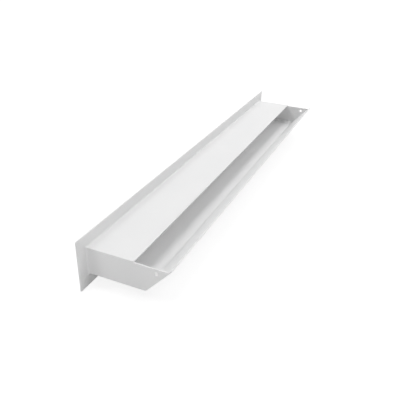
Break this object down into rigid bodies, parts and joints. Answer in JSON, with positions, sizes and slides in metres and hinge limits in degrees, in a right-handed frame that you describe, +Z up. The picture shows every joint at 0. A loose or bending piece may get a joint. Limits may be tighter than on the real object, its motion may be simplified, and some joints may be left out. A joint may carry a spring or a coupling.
{
  "type": "ventilation grille",
  "caption": "Long slot vent of white powder-coated sheet steel: flat wall frame, shallow tunnel behind it, open top at the rear and a sloping rear wall that turns the air to the front slot.",
  "frame": {"origin": "in the plane of the frame's rear faces, which seat on the wall, at the middle of the slot", "axes": "+X along the slot, to the right as seen from the front; the front faces -Y and +Y runs into the wall; +Z up"},
  "size_m": [0.8, 0.1381, 0.085],
  "materials": {
    "powder_coat": "white powder coat, satin"
  },
  "bodies": {
    "root": {"top_plate": "powder_coat", "deflector_tray": "powder_coat", "end_plate_right": "powder_coat", "end_plate_left": "powder_coat"}
  },
  "joints": []
}
